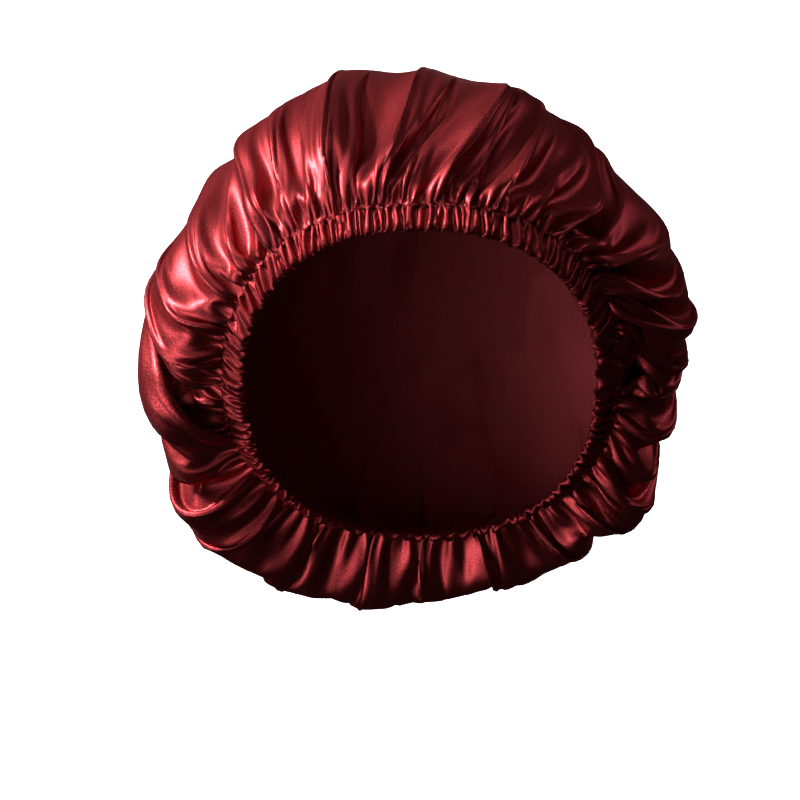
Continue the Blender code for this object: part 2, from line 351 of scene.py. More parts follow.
def column_places(per_fold):
    """Places for the mesh's columns, as many to each fold, closer together at its crest."""
    share = np.arange(per_fold) / per_fold
    share = share - COLUMN_CROWDING * np.sin(share * math.tau) / math.tau
    return (np.arange(FOLD_COUNT)[:, None] + share).ravel()


class Shape:
    """The bonnet's own form, worked out from its sizes."""

    def __init__(self, sizes):
        self.sizes = sizes
        tilt = sizes.oval_tilt
        self.hairline = np.array([0.0, -math.cos(tilt), math.sin(tilt)])
        self.temple = np.array([1.0, 0.0, 0.0])
        self.crownward = np.array([0.0, math.sin(tilt), math.cos(tilt)])

    def placed(self, angle, out, up):
        """The point at that angle round the oval's axis, that far out from it and up along it."""
        side = np.cos(angle)[..., None] * self.hairline + np.sin(angle)[..., None] * self.temple
        return out[..., None] * side + up[..., None] * self.crownward

    def oval_radius(self, angle):
        """The oval's distance from its axis at that angle."""
        along = np.abs(np.cos(angle)) / (self.sizes.oval_length / 2)
        across = np.abs(np.sin(angle)) / (self.sizes.oval_width / 2)
        return (along**OVAL_POWER + across**OVAL_POWER) ** (-1 / OVAL_POWER)

    def band_direction(self, angle):
        """How far the band's width runs out and up, for each unit of width."""
        flare = np.radians(section_value("flare", angle))
        return np.sin(flare), np.cos(flare)

    def seam_at(self, angle):
        """How far out and up the stitching is, just below the band's upper edge."""
        sine, cosine = self.band_direction(angle)
        width, depth = self.sizes.band_width - SEAM_BELOW_EDGE, self.sizes.band_thickness
        out = self.oval_radius(angle) + sine * width + cosine * depth
        return out, cosine * width - sine * depth

    def belly(self, angle, share):
        """Points that share of the way from the stitching to the crown's widest line."""
        seam_out, seam_up = self.seam_at(angle)
        droop = np.radians(section_value("droop", angle))
        widest = section_value("widest", angle) * MM
        level = section_value("level", angle) * MM
        hanging = level - section_value("sag", angle) * MM
        handle = BELLY_HANDLE * np.hypot(widest - seam_out, level - seam_up)
        rest = 1 - share
        weights = (rest**3, 3 * share * rest**2, 3 * share**2 * rest, share**3)
        outs = (seam_out, seam_out + handle * np.cos(droop), widest, widest)
        ups = (seam_up, seam_up - handle * np.sin(droop), hanging, level)
        out = sum(weight * value for weight, value in zip(weights, outs))
        up = sum(weight * value for weight, value in zip(weights, ups))
        return self.placed(angle, out, up)

    def dome(self, angle, share):
        """Points that share of the way from the crown's widest line to its middle."""
        widest = section_value("widest", angle) * MM
        level = section_value("level", angle) * MM
        turn = share * math.pi / 2
        out = widest * max(math.cos(turn), 0.0) ** (2 / DOME_POWER)
        up = level + (self.sizes.crown_top - level) * math.sin(turn) ** (2 / DOME_POWER)
        return self.placed(angle, out, up)

    def smooth_crown(self, angle, reach):
        """Points of the crown without its folds."""
        if reach < BELLY_REACH:
            return self.belly(angle, reach / BELLY_REACH)
        return self.dome(angle, (reach - BELLY_REACH) / (1 - BELLY_REACH))


def fold_shape(places, reach):
    """How far the large folds raise the cloth and tip it over sideways at each place."""
    degrees = np.degrees(angle_at(places, reach))
    raised, tipped, lobes = (np.zeros_like(degrees) for _ in range(3))
    for index, (fold, crest) in enumerate(zip(FOLDS, crest_angles(reach))):
        slope = fold.slope * (CROWDED + (1 - CROWDED) * smooth(reach / OPEN_REACH))
        away = np.abs(degrees_between(degrees, crest)) / slope
        rounded = ROUNDED + ROUNDED_ABOVE * smooth(reach / ROUNDED_BY)
        eased = np.sqrt(away * away + rounded * rounded) - rounded
        faded = smooth((reach / fold.fade - FADE_FROM) / (1 - FADE_FROM))
        stand = smooth(reach / FOLD_START) * (1 - faded)
        raised += (stand * fold.height * MM * np.exp(-eased)) ** FOLD_JOIN
        tipped += fold.lean * MM * stand * np.exp(-away * away)
        near = np.abs((places - index + FOLD_COUNT / 2) % FOLD_COUNT - FOLD_COUNT / 2)
        lobes += stand * fold.height * MM * (1 - smooth(near))
    lobes *= np.abs(np.cos(places * math.pi)) ** LOBE_POWER
    raised = raised ** (1 / FOLD_JOIN) * (1 - LOBED) + lobes * LOBED
    for hollow in HOLLOWS:
        round_it = degrees_between(degrees, hollow.angle) / hollow.spread
        along_it = (reach - hollow.reach) / hollow.length
        sunk = smooth(reach / HOLLOW_FROM) * hollow.depth * MM
        raised -= sunk * np.exp(-round_it * round_it - along_it * along_it)
    return raised, tipped


def dent_height(points, reach):
    """How far soft dents and swellings move the cloth at those points."""
    height = np.array([noise.noise(Vector(point) / DENT_SIZE) for point in points])
    return DENT_DEPTH * smooth(reach / FOLD_START) * height


def ridge_height(place, reach):
    """How far the pulled threads along the folds' crests stand up from the settled cloth."""
    raised = np.zeros_like(place)
    for index, fold in enumerate(FOLDS):
        faded = smooth((reach / fold.fade - RIDGE_FADES) / (RIDGE_ENDS - RIDGE_FADES))
        stand = fold.pinch * MM * smooth(reach / RIDGE_FROM) * (1 - faded)
        away = (place - index + FOLD_COUNT / 2) % FOLD_COUNT - FOLD_COUNT / 2
        width = np.where(away < 0, RIDGE_WIDTH, RIDGE_DROP)
        raised += stand * np.exp(-np.abs(away / width) ** RIDGE_POWER)
    return raised


def pleats(seed, spacing):
    """An uneven row of pleats all round the band."""
    draws = np.random.default_rng(seed)
    places = [0.0]
    while places[-1] < FOLD_COUNT:
        places.append(places[-1] + spacing * draws.uniform(*PLEAT_GAPS))
    places = np.array(places[:-1]) * FOLD_COUNT / places[-1]
    found = []
    for index, place in enumerate(places):
        following = places[(index + 1) % len(places)]
        gap = (following - place) % FOLD_COUNT
        found.append(
            Pleat(
                place,
                PLEAT_WIDTH * gap,
                draws.uniform(*PLEAT_HEIGHTS),
                draws.choice(PLEAT_REACHES, p=PLEAT_ODDS),
                draws.uniform(-PLEAT_SWAY, PLEAT_SWAY),
                draws.uniform(0, math.tau),
            )
        )
    return found


def pleat_height(rows, place, reach):
    """How far the pleats raise the cloth at those places, at that reach."""
    raised = np.zeros_like(place)
    for pleat in rows:
        sway = pleat.sway * math.sin(reach * SWAY_TURNS + pleat.phase)
        sway *= min(1.0, reach / SWAY_FROM)
        away = (place - pleat.place - sway + FOLD_COUNT / 2) % FOLD_COUNT - FOLD_COUNT / 2
        width = pleat.width * (1 + PLEAT_OPENS * reach / pleat.reach)
        near = np.abs(away) < 3 * width
        stand = 1 - smooth(reach / pleat.reach)
        if stand > 0:
            raised[near] += pleat.height * MM * stand * np.exp(-((away[near] / width) ** 2))
    return raised


def lengths(points, axis):
    """The lengths of a grid's edges, along its columns (axis 0) or round its rows (axis 1)."""
    if axis == 1:
        return np.linalg.norm(np.roll(points, -1, axis=1) - points, axis=2)
    return np.linalg.norm(points[1:] - points[:-1], axis=2)


def correction(start, end, wanted):
    """How far the edge's start moves, and its end the other way, for its wanted length."""
    edge = end - start
    length = np.linalg.norm(edge, axis=-1) + 1e-12
    return edge * (0.5 * (length - wanted) / length)[..., None]


def bending(points, axis):
    """How unevenly a grid bends along an axis, as a vector at each point."""
    bends = np.roll(points, 1, axis) + np.roll(points, -1, axis) - 2 * points
    if axis == 0:
        bends[[0, -1]] = 0
    uneven = np.roll(bends, 1, axis) + np.roll(bends, -1, axis) - 2 * bends
    if axis == 0:
        uneven[[0, -1]] = 0
    return uneven


class Cloth:
    """Cloth on a grid whose rows run round the bonnet and whose columns run from the stitching.

    form is its place without folds, outwards the way out from there, and drawn its place with the
    folds as they are drawn. The cloth is spare times longer round than it is drawn. free is
    0 in a row that is sewn down. lowest and highest say how far from the form it may lie.
    """

    def __init__(self, form, outwards, drawn, spare, free, lowest, highest):
        self.form = form
        self.outwards = outwards
        self.drawn = drawn
        self.points = drawn.copy()
        self.spare = spare
        self.free = free[:, None, None]
        self.lowest = lowest
        self.highest = highest
        self.round_it = lengths(drawn, 1)
        self.along = lengths(drawn, 0)

    def pull_round(self, wanted):
        """Pulls the edges round each row to their wanted length."""
        count = self.points.shape[1]
        for first in (0, 1):
            following = (np.arange(first, count, 2) + 1) % count
            step = correction(
                self.points[:, first::2], self.points[:, following], wanted[:, first::2]
            )
            self.points[:, first::2] += step * self.free
            self.points[:, following] -= step * self.free

    def pull_along(self):
        """Pulls the edges along each column to their length as drawn."""
        for first in (0, 1):
            upper = self.points[first + 1 :: 2]
            lower = self.points[first:-1:2][: len(upper)]
            lower_free = self.free[first:-1:2][: len(upper)]
            upper_free = self.free[first + 1 :: 2]
            both = np.maximum(lower_free + upper_free, 1)
            step = 2 * correction(lower, upper, self.along[first::2]) / both
            lower += step * lower_free
            upper -= step * upper_free

    def pull_slanting(self, wanted):
        """Keeps the mesh's squares from slanting."""
        moved = np.zeros_like(self.points)
        across = np.sqrt(0.25 * (wanted[:-1] + wanted[1:]) ** 2 + self.along**2)
        following = np.roll(self.points, -1, axis=1)
        step = correction(self.points[:-1], following[1:], across)
        moved[:-1] += step
        moved[1:] -= np.roll(step, 1, axis=1)
        step = correction(following[:-1], self.points[1:], across)
        moved[1:] -= step
        moved[:-1] += np.roll(step, 1, axis=1)
        self.points += moved * SLANTING_PULL * 0.5 * self.free

    def unbend(self, stiffness):
        """Evens out the bends, by that stiffness round each row."""
        self.points -= stiffness[:, None, None] * bending(self.points, 1) * self.free
        self.points -= LENGTHWISE_STIFFNESS * bending(self.points, 0) * self.free

    def part_folds(self, span, wanted):
        """Keeps columns that many apart from touching."""
        edge = np.roll(self.points, -span, axis=1) - self.points
        length = np.linalg.norm(edge, axis=-1) + 1e-12
        nearest = np.minimum(APART, 0.5 * span * wanted.mean(axis=1, keepdims=True))
        share = np.clip((nearest - length) / length, 0, 2) * 0.25
        step = edge * share[..., None] * self.free
        self.points += np.roll(step, span, axis=1) - step

    def hold(self):
        """Keeps the cloth near its drawn place and between its lowest and highest."""
        self.points += (self.drawn - self.points) * MEMORY * self.free
        height = ((self.points - self.form) * self.outwards).sum(axis=2)
        allowed = np.clip(height, self.lowest, self.highest)
        self.points += self.outwards * ((allowed - height) * self.free[..., 0])[..., None]

    def shake(self, settling, seed, share):
        """Sets the cloth a little unevenly, by that share in each row, so that it can fold."""
        height = unevenness(self.points.shape[:2], seed) * settling.uneven * MM
        self.points += self.outwards * (height * share[:, None])[..., None] * self.free

    def settle(self, settling, stiffness):
        """Lets the spare cloth out bit by bit until it has folded."""
        for turn in range(settling.rounds):
            let_go = min(1.0, (turn + 1) / (LET_GO_BY * settling.rounds))
            slack = settling.slack_from + (settling.slack_to - settling.slack_from) * let_go
            wanted = self.round_it * (1 + (self.spare - 1) * slack)
            self.pull_round(wanted)
            self.pull_along()
            self.pull_slanting(wanted)
            self.unbend(stiffness)
            for span in settling.spans:
                self.part_folds(span, wanted)
            self.hold()


def facing(points):
    """The way out from a grid's face at each of its points."""
    around = np.roll(points, -1, axis=1) - np.roll(points, 1, axis=1)
    return unit(np.cross(around, np.gradient(points, axis=0)))


def crown_reaches():
    """The reach of each of the crown's rows."""
    return CROWN_END * (np.arange(CROWN_ROWS + 1) / CROWN_ROWS) ** ROW_CROWDING


def fullness(sizes, reach):
    """How many times longer the crown's cloth is round the bonnet than the form it is drawn to."""
    near_seam = np.exp(-reach / SEAM_GATHERS) * smooth(reach / SEAM_GRIP)
    in_belly = smooth(reach / BELLY_FULL_BY) * (1 - smooth((reach - FLAT_FROM) / FLAT_OVER))
    at_seam = sizes.seam_fullness - sizes.belly_fullness
    return 1 + (sizes.belly_fullness - 1) * in_belly + at_seam * near_seam


def patchy(places, seed, patch, share):
    """An uneven factor round the bonnet, about 1, in patches that many folds long."""
    count = round(FOLD_COUNT / patch)
    draws = np.random.default_rng(seed + 10).uniform(1 - share, 1 + share, count)
    return np.interp(places / FOLD_COUNT * count, np.arange(count + 1), np.append(draws, draws[0]))


def drawn_crown(shape, sizes, per_fold):
    """The crown's cloth with its folds as they are drawn, before it settles."""
    fine = per_fold > CROWN_COLUMNS / COARSER
    small = pleats(sizes.pleat_seed, sizes.pleat_spacing) if fine else []
    places = column_places(per_fold)
    reaches = crown_reaches()
    form, raised, tipped = [], [], []
    for reach in reaches:
        angle = angle_at(places, reach)
        fold_height, fold_lean = fold_shape(places, reach)
        bare = shape.smooth_crown(angle, reach)
        fold_height = DEEPENED * fold_height - SUNK * smooth(reach / FOLD_START)
        form.append(bare)
        raised.append(fold_height + dent_height(bare, reach) + pleat_height(small, places, reach))
        tipped.append(fold_lean)
    form, raised, tipped = np.array(form), np.array(raised), np.array(tipped)
    around = unit(np.roll(form, -1, axis=1) - np.roll(form, 1, axis=1))
    outwards = unit(np.cross(around, unit(np.gradient(form, axis=0))))
    drawn = form + outwards * raised[..., None] + around * tipped[..., None]
    free = np.ones(len(reaches))
    free[[0, -1]] = 0
    inside = -INSIDE * smooth(reaches / INSIDE_BY)[:, None] - 2 * OUTSIDE
    lowest = np.minimum(inside, raised - 1 * MM)
    patches = patchy(places, sizes.pleat_seed, CROWN_PATCH, CROWN_PATCHINESS)
    to_back = ((1 - np.cos(angle_at(places, 0.0))) / 2) ** BACK_NARROWED
    spare = 1 + (fullness(sizes, reaches)[:, None] - 1) * patches * (1 - BACK_PLAINER * to_back)
    return Cloth(form, outwards, drawn, spare, free, lowest, raised + OUTSIDE)


def unevenness(shape, seed):
    """A soft random unevenness over a grid, about 1 high."""
    height = np.random.default_rng(seed).normal(size=shape)
    for _ in range(6):
        height[1:-1] = 0.25 * height[:-2] + 0.5 * height[1:-1] + 0.25 * height[2:]
    for _ in range(2):
        height = 0.25 * np.roll(height, 1, 1) + 0.5 * height + 0.25 * np.roll(height, -1, 1)
    return height / height.std()


def doubled_columns(points):
    """A grid with a new column, on a smooth curve, between each two."""
    before, after = np.roll(points, 1, axis=1), np.roll(points, -1, axis=1)
    between = (9 * (points + after) - before - np.roll(points, -2, axis=1)) / 16
    return np.stack([points, between], axis=2).reshape(len(points), -1, 3)


def settled_crown(shape, sizes):
    """The crown's outer face once its cloth has settled into folds, as rows of points."""
    reaches = crown_reaches()
    stiffer = smooth(reaches / STIFF_BY)
    middle = smooth((reaches - MIDDLE_FROM) / (MIDDLE_BY - MIDDLE_FROM))
    points = None
    for settling in CROWN_SETTLING:
        cloth = drawn_crown(shape, sizes, settling.columns)
        if points is not None:
            cloth.points = doubled_columns(points)
            cloth.points[0] = cloth.drawn[0]
        cloth.shake(settling, sizes.fold_seed, smooth(reaches / 0.02))
        cloth.settle(settling, SEAM_STIFFNESS + (settling.stiffness - SEAM_STIFFNESS) * stiffer)
        points = cloth.points + (cloth.drawn - cloth.points) * middle[:, None, None]
    for _ in range(SOFTENED):
        points[1:-1] = 0.5 * points[1:-1] + 0.25 * (points[:-2] + points[2:])
    places = column_places(CROWN_COLUMNS)
    ridges = np.array([ridge_height(places, reach) for reach in reaches])
    return points + facing(points) * ridges[..., None]


def casing_profile(sizes):
    """Places round the casing's section from its stitched edge: how wide up and how deep out."""
    turn = np.linspace(0, math.tau, 721)
    across = np.sign(np.cos(turn)) * np.abs(np.cos(turn)) ** CASING_SQUARENESS
    through = np.sign(np.sin(turn)) * np.abs(np.sin(turn)) ** CASING_SQUARENESS
    width = sizes.band_width * (1 + across) / 2
    depth = sizes.band_thickness * (1 + through) / 2
    run = np.append(0, np.cumsum(np.hypot(np.diff(width), np.diff(depth))))
    share = np.linspace(0, run[-1], CASING_ROWS + 1)
    return np.interp(share, run, width), np.interp(share, run, depth)


def settled_casing(shape, sizes):
    """The casing's face once its cloth has settled into ruffles, as rows of points."""
    small = pleats(sizes.pleat_seed, sizes.pleat_spacing)
    places = column_places(CASING_SETTLING.columns)
    angle = angle_at(places, 0.0)
    sine, cosine = shape.band_direction(angle)
    radius = shape.oval_radius(angle)
    form = []
    for width, depth in zip(*casing_profile(sizes)):
        out = radius + sine * width + cosine * depth
        form.append(shape.placed(angle, out, cosine * width - sine * depth))
    form = np.array(form)
    around = unit(np.roll(form, -1, axis=1) - np.roll(form, 1, axis=1))
    outwards = unit(np.cross(unit(np.gradient(form, axis=0)), around))
    outwards[[0, -1]] = shape.placed(angle, cosine, -sine)
    share = np.arange(CASING_ROWS + 1) / CASING_ROWS
    outer = 1 - smooth((share - OUTER_TO) / OUTER_EASES)
    raised = pleat_height(small, places, 0.0)[None] * RUFFLES_AS_DRAWN * outer[:, None]
    drawn = form + outwards * raised[..., None]
    free = np.ones(len(share))
    free[[0, -1]] = 0
    patches = patchy(places, sizes.pleat_seed, CASING_PATCH, CASING_PATCHINESS)
    spare = 1 + (sizes.casing_fullness - 1) * (0.15 + 0.85 * outer)[:, None] * patches
    highest = raised + RUFFLE_HEIGHT * (0.2 + 0.8 * outer[:, None])
    lowest = np.minimum(raised, 0) - RUFFLE_DEPTH * (0.3 + 0.7 * outer[:, None])
    cloth = Cloth(form, outwards, drawn, spare, free, lowest, highest)
    cloth.shake(CASING_SETTLING, sizes.fold_seed + 1, free)
    cloth.settle(CASING_SETTLING, np.full(len(share), CASING_SETTLING.stiffness))
    return cloth.points


def ring_faces(lower, upper):
    """Faces between two rings of the same count, given as the numbers of their corners."""
    count = len(lower)
    return [
        (lower[i], lower[(i + 1) % count], upper[(i + 1) % count], upper[i]) for i in range(count)
    ]


def add_piece(name, points, faces, materials):
    """A smooth shaded mesh object with those corners and faces."""
    mesh = bpy.data.meshes.new(name)
    mesh.from_pydata(points.tolist(), [], faces)
    for material in materials:
        mesh.materials.append(material)
    mesh.shade_smooth()
    obj = bpy.data.objects.new(name, mesh)
    bpy.context.scene.collection.objects.link(obj)
    return obj


def add_cut_map(obj, flat):
    """Where each corner lay in the flat cut, as a map for the weave to follow."""
    layer = obj.data.uv_layers.new(name="cut")
    corners = np.zeros(len(obj.data.loops), np.int64)
    obj.data.loops.foreach_get("vertex_index", corners)
    layer.data.foreach_set("uv", flat[corners].astype(np.float32).ravel())


class Wire:
    """A socket that carries a value or colour, with sums on it written as plain expressions."""

    def __init__(self, recipe, socket):
        self.recipe = recipe
        self.socket = socket

    def sum_with(self, operation, first, second):
        return self.recipe.add("ShaderNodeMath", {"operation": operation}, {0: first, 1: second})

    def __add__(self, other):
        return self.sum_with("ADD", self, other)

    def __radd__(self, other):
        return self.sum_with("ADD", other, self)

    def __sub__(self, other):
        return self.sum_with("SUBTRACT", self, other)

    def __rsub__(self, other):
        return self.sum_with("SUBTRACT", other, self)

    def __mul__(self, other):
        return self.sum_with("MULTIPLY", self, other)

    def __rmul__(self, other):
        return self.sum_with("MULTIPLY", other, self)


class Recipe:
    """A material's nodes, added one by one to its Principled shader."""

    def __init__(self, name):
        self.material = bpy.data.materials.new(name)
        self.material.use_nodes = True
        self.tree = self.material.node_tree
        self.shader = self.tree.nodes["Principled BSDF"]

    def fill(self, node, sockets):
        """Puts values or links into a node's sockets."""
        for key, value in sockets.items():
            if isinstance(value, Wire):
                self.tree.links.new(value.socket, node.inputs[key])
            else:
                node.inputs[key].default_value = value

    def add(self, kind, settings, sockets, output=0):
        """A node of that type: its settings first, then its sockets. Gives one output."""
        node = self.tree.nodes.new(kind)
        for key, value in settings.items():
            setattr(node, key, value)
        self.fill(node, sockets)
        return Wire(self, node.outputs[output])

    def finish(self, **sockets):
        """Fills the shader's own sockets, named with underscores for spaces."""
        self.fill(self.shader, {key.replace("_", " "): value for key, value in sockets.items()})
        return self.material


def satin(name, colour, roughness, metallic, contrast):
    """Woven satin: fine grain along the long floats of its face, and a soft uneven sheen."""
    recipe = Recipe(name)
    cut = recipe.add("ShaderNodeUVMap", {"uv_map": "cut"}, {})
    along = recipe.add("ShaderNodeMapping", {}, {"Vector": cut, "Scale": FLOATS})
    floats = recipe.add("ShaderNodeTexNoise", {}, {"Vector": along, "Scale": 1.0, "Detail": 1.0})
    cloud = recipe.add("ShaderNodeTexNoise", {}, {"Vector": cut, "Scale": 18.0, "Detail": 3.0})
    grain = recipe.add(
        "ShaderNodeMapRange", {}, {"Value": floats, "From Min": 0.41, "From Max": 0.59}
    )
    dark = tuple((1 - contrast) * part for part in colour) + (1.0,)
    light = tuple(min(1.0, (1 + contrast) * part) for part in colour) + (1.0,)
    mixed = recipe.add(
        "ShaderNodeMix",
        {"data_type": "RGBA"},
        {"Factor": grain * 0.8 + cloud * 0.2, "A": dark, "B": light},
        output="Result",
    )
    bump = recipe.add(
        "ShaderNodeBump", {}, {"Strength": 0.1, "Distance": 0.0003, "Height": floats}
    )
    return recipe.finish(
        Base_Color=mixed,
        Metallic=metallic,
        Roughness=roughness + (cloud - 0.5) * 0.12,
        Specular_Tint=(1.0, 0.38, 0.4, 1.0),
        Normal=bump,
        Sheen_Weight=0.02,
        Sheen_Roughness=0.4,
        Sheen_Tint=(0.9, 0.5, 0.5, 1.0),
    )


def sewing_thread(colours):
    """Twisted thread, a little lighter than the satin."""
    recipe = Recipe("sewing_thread")
    place = recipe.add("ShaderNodeTexCoord", {}, {}, output="Object")
    twist = recipe.add(
        "ShaderNodeTexWave", {"bands_direction": "DIAGONAL"}, {"Vector": place, "Scale": 900.0}
    )
    bump = recipe.add("ShaderNodeBump", {}, {"Strength": 0.4, "Distance": 0.0001, "Height": twist})
    return recipe.finish(Base_Color=(*colours.thread, 1.0), Roughness=0.6, Normal=bump)


def length_property(name, description, default):
    """A length that a maker can change."""
    return bpy.props.FloatProperty(
        name=name, description=description, default=default, unit="LENGTH"
    )


def number_property(name, description, default):
    """A plain number that a maker can change."""
    return bpy.props.FloatProperty(name=name, description=description, default=default)


def share_property(name, description, default):
    """A share from 0 to 1 that a maker can change."""
    return bpy.props.FloatProperty(
        name=name, description=description, default=default, min=0, max=1, subtype="FACTOR"
    )


def colour_property(name, description, default):
    """A colour that a maker can change."""
    return bpy.props.FloatVectorProperty(
        name=name, description=description, default=default, subtype="COLOR", min=0, max=1
    )


class BonnetSizes(bpy.types.PropertyGroup):
    """The sizes that a maker would change."""

    oval_length: length_property(
        "Band length", "Length of the band's lower edge, hairline to nape", 0.2016
    )
    oval_width: length_property(
        "Band breadth", "Breadth of the band's lower edge, temple to temple", 0.156
    )
    oval_tilt: bpy.props.FloatProperty(
        name="Band tilt",
        description="How far the band runs down from the hairline to the nape",
        default=math.radians(42),
        subtype="ANGLE",
    )
    band_width: length_property("Band width", "Width of the ruched casing", 0.014)
    band_thickness: length_property(
        "Band thickness", "Thickness of the casing with its elastic", 0.003
    )
    crown_top: length_property(
        "Crown height", "Height of the crown's middle over the band's oval", 0.158
    )
    cloth: length_property("Cloth", "Thickness of the satin", 0.0003)
    cut_width: length_property(
        "Cut", "Diameter of the round piece of satin that the crown is cut from", 0.50
    )
    casing_length: length_property(
        "Casing cut", "Length of the casing before it is drawn up on its elastic", 1.10
    )
    pleat_spacing: number_property(
        "Pleat spacing", "Average distance between the small pleats, counted in large folds", 0.40
    )
    pleat_seed: bpy.props.IntProperty(
        name="Pleat pattern",
        description="Number that the uneven pleats are drawn from",
        default=7,
    )
    fold_seed: bpy.props.IntProperty(
        name="Fold pattern",
        description="Number that the cloth's unevenness is drawn from before it settles",
        default=3,
    )
    seam_fullness: number_property(
        "Fullness at the seam",
        "How many times longer the crown's cloth is than its pleats as drawn",
        2.5,
    )
    belly_fullness: number_property(
        "Fullness of the belly",
        "How many times longer the crown's cloth is than its folds as drawn",
        1.28,
    )
    casing_fullness: number_property(
        "Fullness of the casing",
        "How many times longer the casing's cloth is than its ruffles as drawn",
        2.0,
    )
    stitch_length: length_property(
        "Stitch", "Length of a stitch on the seam, with the space to the next", 0.0032
    )
    thread_thickness: length_property("Thread", "Thickness of the sewing thread", 0.00035)


class BonnetColours(bpy.types.PropertyGroup):
    """The colours and finishes that a maker would change."""

    satin: colour_property("Satin", "Colour of the satin's glossy face", (0.25, 0.024, 0.028))
    wrong_side: colour_property(
        "Wrong side", "Colour of the satin's dull inner face", (0.26, 0.030, 0.036)
    )
    # Painted shade: the casing is the same satin as the crown, with its colour painted darker all
    # over to stand in for the shade under the crown's overhanging belly.
    band: colour_property(
        "Band",
        "Colour of the casing's satin, darker where it is drawn together",
        (0.20, 0.018, 0.021),
    )
    thread: colour_property("Thread", "Colour of the sewing thread", (0.30, 0.02, 0.03))
    floor: colour_property("Floor", "Colour of the studio's floor", (0.92, 0.92, 0.92))
    satin_roughness: share_property("Satin roughness", "Roughness of the glossy face", 0.40)
    wrong_side_roughness: share_property(
        "Wrong side roughness", "Roughness of the dull inner face", 0.7
    )
    band_roughness: share_property("Band roughness", "Roughness of the casing's satin", 0.48)
    satin_metallic: share_property(
        "Satin tint", "How far the sheen takes the satin's own colour", 0.8
    )


class SewCrown(bpy.types.Operator):
    """Gathers the round crown into its folds"""

    bl_idname = "bonnet.sew_crown"
    bl_label = "Sew the crown"

    def execute(self, context):
        sizes, colours = context.scene.bonnet_sizes, context.scene.bonnet_colours
        rows = settled_crown(Shape(sizes), sizes)
        tucked = rows[0] - TUCKED * unit(rows[1] - rows[0])
        rows = np.concatenate([tucked[None], rows])
        count = rows.shape[1]
        points = np.concatenate([rows.reshape(-1, 3), rows[-1].mean(axis=0)[None]])
        numbers = np.arange(rows.shape[0] * count).reshape(-1, count).tolist()
        faces = []
        for lower, upper in zip(numbers, numbers[1:]):
            faces += ring_faces(lower, upper)
        last = numbers[-1]
        faces += [(last[i], last[(i + 1) % count], len(points) - 1) for i in range(count)]
        turn = angle_at(column_places(CROWN_COLUMNS), OPEN_REACH)
        radius = (1 - np.append(0, crown_reaches())) * sizes.cut_width / 2
        flat = radius[:, None, None] * np.stack([np.cos(turn), np.sin(turn)], axis=1)
        tint, roughness = colours.satin_metallic, colours.wrong_side_roughness
        face = satin("satin_face", colours.satin, colours.satin_roughness, tint, FACE_GRAIN)
        back = satin("satin_wrong_side", colours.wrong_side, roughness, 0.0, WRONG_SIDE_GRAIN)
        crown = add_piece("crown_satin_gathered", points, faces, [face, back])
        add_cut_map(crown, np.concatenate([flat.reshape(-1, 2), np.zeros((1, 2))]))
        wall = crown.modifiers.new("cloth", "SOLIDIFY")
        wall.thickness = sizes.cloth
        wall.offset = -1
        wall.material_offset = 1
        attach(crown, "root")
        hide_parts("crown")
        math.pi / 4 * sizes.cut_width**2
        return {"FINISHED"}


class RucheBand(bpy.types.Operator):
    """Draws the casing up on its elastic and stitches it to the crown"""

    bl_idname = "bonnet.ruche_band"
    bl_label = "Ruche the band"

    def execute(self, context):
        sizes, colours = context.scene.bonnet_sizes, context.scene.bonnet_colours
        rows = settled_casing(Shape(sizes), sizes)
        count = rows.shape[1]
        numbers = np.arange(CASING_ROWS * count).reshape(-1, count).tolist()
        faces = []
        for lower, upper in zip(numbers, numbers[1:] + numbers[:1]):
            faces += ring_faces(upper, lower)
        turn = angle_at(column_places(CASING_SETTLING.columns), 0.0)
        flat = np.stack(
            np.broadcast_arrays(
                turn[None] / math.tau * sizes.casing_length,
                np.arange(CASING_ROWS)[:, None] / CASING_ROWS * CASING_CUT,
            ),
            axis=2,
        )
        tint, roughness = colours.satin_metallic, colours.band_roughness
        # The casing's colour carries painted shade: it is the satin's colour, darker all over.
        material = satin("satin_band_painted_shade", colours.band, roughness, tint, FACE_GRAIN)
        band = add_piece("band_ruched", rows[:-1].reshape(-1, 3), faces, [material])
        add_cut_map(band, flat.reshape(-1, 2))
        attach(band, "root")
        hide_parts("band")
        self.stitch(rows[STITCH_ROW], rows[STITCH_ROW - 1], sizes, colours)
        return {"FINISHED"}

    def stitch(self, line, above, sizes, colours):
        """Lays thread stitches along a row of the casing, each sunk in at both ends."""
        run = np.append(0, np.cumsum(np.linalg.norm(np.roll(line, -1, axis=0) - line, axis=1)))
        closed = np.concatenate([line, line[:1]])
        centre = line.mean(axis=0)
        count = round(run[-1] / sizes.stitch_length)
        radius = sizes.thread_thickness / 2
        points, faces = [], []
        ring = np.arange(THREAD_SIDES) / THREAD_SIDES * math.tau
        for index in range(count):
            share = (index + STITCH_SHARE * np.linspace(0, 1, THREAD_RINGS)) / count * run[-1]
            route = np.stack([np.interp(share, run, closed[:, k]) for k in range(3)], axis=1)
            along = unit(np.gradient(route, axis=0))
            column = np.searchsorted(run, share[THREAD_RINGS // 2]) % len(line)
            upwards = unit(above[column] - line[column])
            out = unit(np.cross(along, upwards))
            out = out * np.sign((out * (route - centre)).sum(axis=1, keepdims=True))
            rise = np.sin(np.linspace(0, math.pi, THREAD_RINGS))[:, None]
            route = route + out * (rise - 0.4) * 2 * radius
            side = np.cross(along, out)
            base = len(points)
            for place, across, outwards in zip(route, side, out):
                for turn in ring:
                    offset = math.cos(turn) * across + math.sin(turn) * outwards
                    points.append(place + radius * offset)
            for k in range(THREAD_RINGS - 1):
                start = base + k * THREAD_SIDES
                lower = list(range(start, start + THREAD_SIDES))
                faces += ring_faces(lower, [n + THREAD_SIDES for n in lower])
            faces.append(tuple(range(base + THREAD_SIDES - 1, base - 1, -1)))
            last = base + (THREAD_RINGS - 1) * THREAD_SIDES
            faces.append(tuple(range(last, last + THREAD_SIDES)))
        thread = add_piece("seam_stitches", np.array(points), faces, [sewing_thread(colours)])
        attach(thread, "root")


